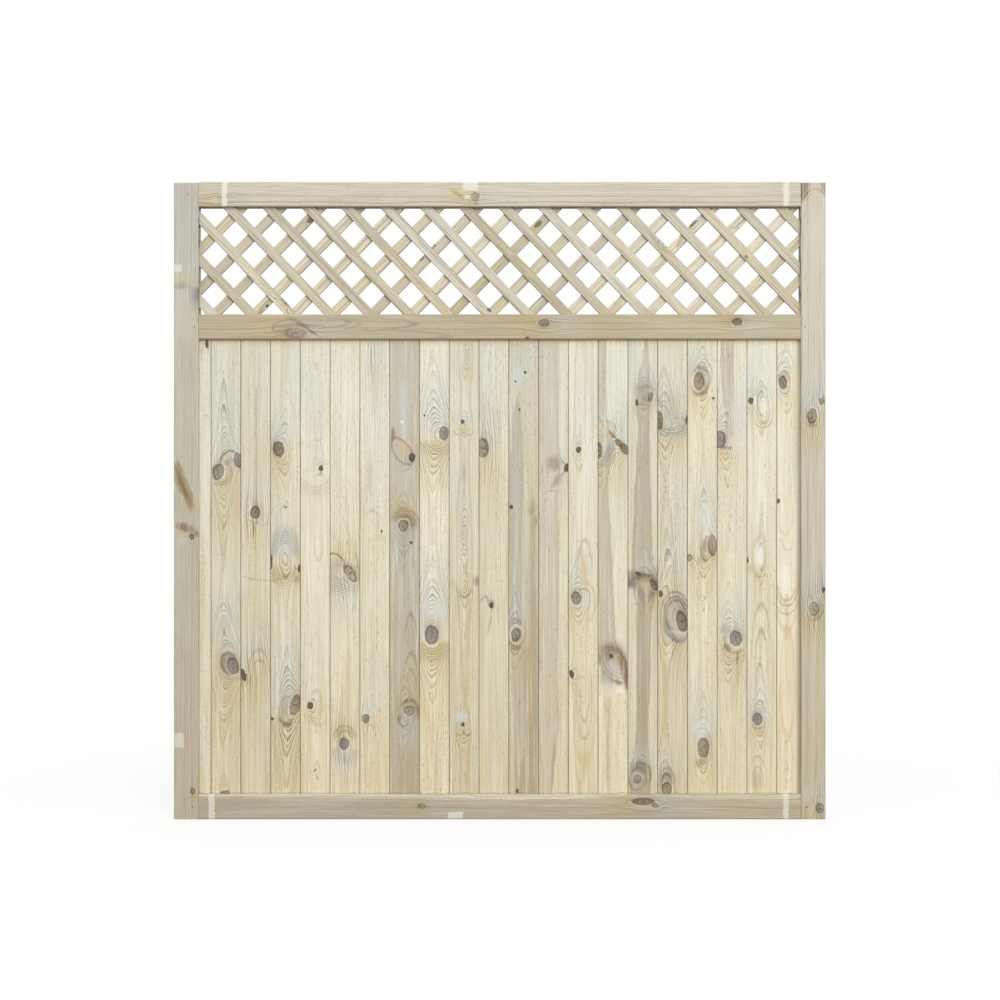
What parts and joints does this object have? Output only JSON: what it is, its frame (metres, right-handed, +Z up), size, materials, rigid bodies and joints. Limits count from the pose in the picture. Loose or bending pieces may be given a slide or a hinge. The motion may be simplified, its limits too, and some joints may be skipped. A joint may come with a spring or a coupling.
{
  "type": "lattice top fence panel",
  "caption": "Framed timber fence panel with upright tongue and groove boards below and an open diagonal lattice along the top, made to be fixed between posts.",
  "frame": {"origin": "on the ground under the middle of the panel, half way through its depth", "axes": "+X along the panel to the right seen from the front, +Y to the back, +Z up"},
  "size_m": [1.83, 0.045, 1.79],
  "materials": {
    "frame_timber": "planed, treated",
    "board_timber": "planed, treated",
    "lath_timber": "planed, treated",
    "nail_steel": "galvanised"
  },
  "bodies": {
    "root": {"back_corner_laths": "lath_timber", "back_lath_01": "lath_timber", "back_lath_02": "lath_timber", "back_lath_03": "lath_timber", "back_lath_04": "lath_timber", "back_lath_05": "lath_timber", "back_lath_06": "lath_timber", "back_lath_07": "lath_timber", "back_lath_08": "lath_timber", "back_lath_09": "lath_timber", "back_lath_10": "lath_timber", "back_lath_11": "lath_timber", "back_lath_12": "lath_timber", "back_lath_13": "lath_timber", "back_lath_14": "lath_timber", "back_lath_15": "lath_timber", "board_01": "board_timber", "board_02": "board_timber", "board_03": "board_timber", "board_04": "board_timber", "board_05": "board_timber", "board_06": "board_timber", "board_07": "board_timber", "board_08": "board_timber", "board_09": "board_timber", "board_10": "board_timber", "board_11": "board_timber", "board_12": "board_timber", "board_13": "board_timber", "board_14": "board_timber", "board_15": "board_timber", "board_16": "board_timber", "board_17": "board_timber", "board_18": "board_timber", "board_19": "board_timber", "board_20": "board_timber", "board_21": "board_timber", "bottom_rail": "frame_timber", "front_corner_laths": "lath_timber", "front_lath_01": "lath_timber", "front_lath_02": "lath_timber", "front_lath_03": "lath_timber", "front_lath_04": "lath_timber", "front_lath_05": "lath_timber", "front_lath_06": "lath_timber", "front_lath_07": "lath_timber", "front_lath_08": "lath_timber", "front_lath_09": "lath_timber", "front_lath_10": "lath_timber", "front_lath_11": "lath_timber", "front_lath_12": "lath_timber", "front_lath_13": "lath_timber", "front_lath_14": "lath_timber", "front_lath_15": "lath_timber", "front_lath_16": "lath_timber", "left_stile": "frame_timber", "middle_rail": "frame_timber", "right_stile": "frame_timber", "tenon_nails": "nail_steel", "top_rail": "frame_timber"}
  },
  "joints": []
}
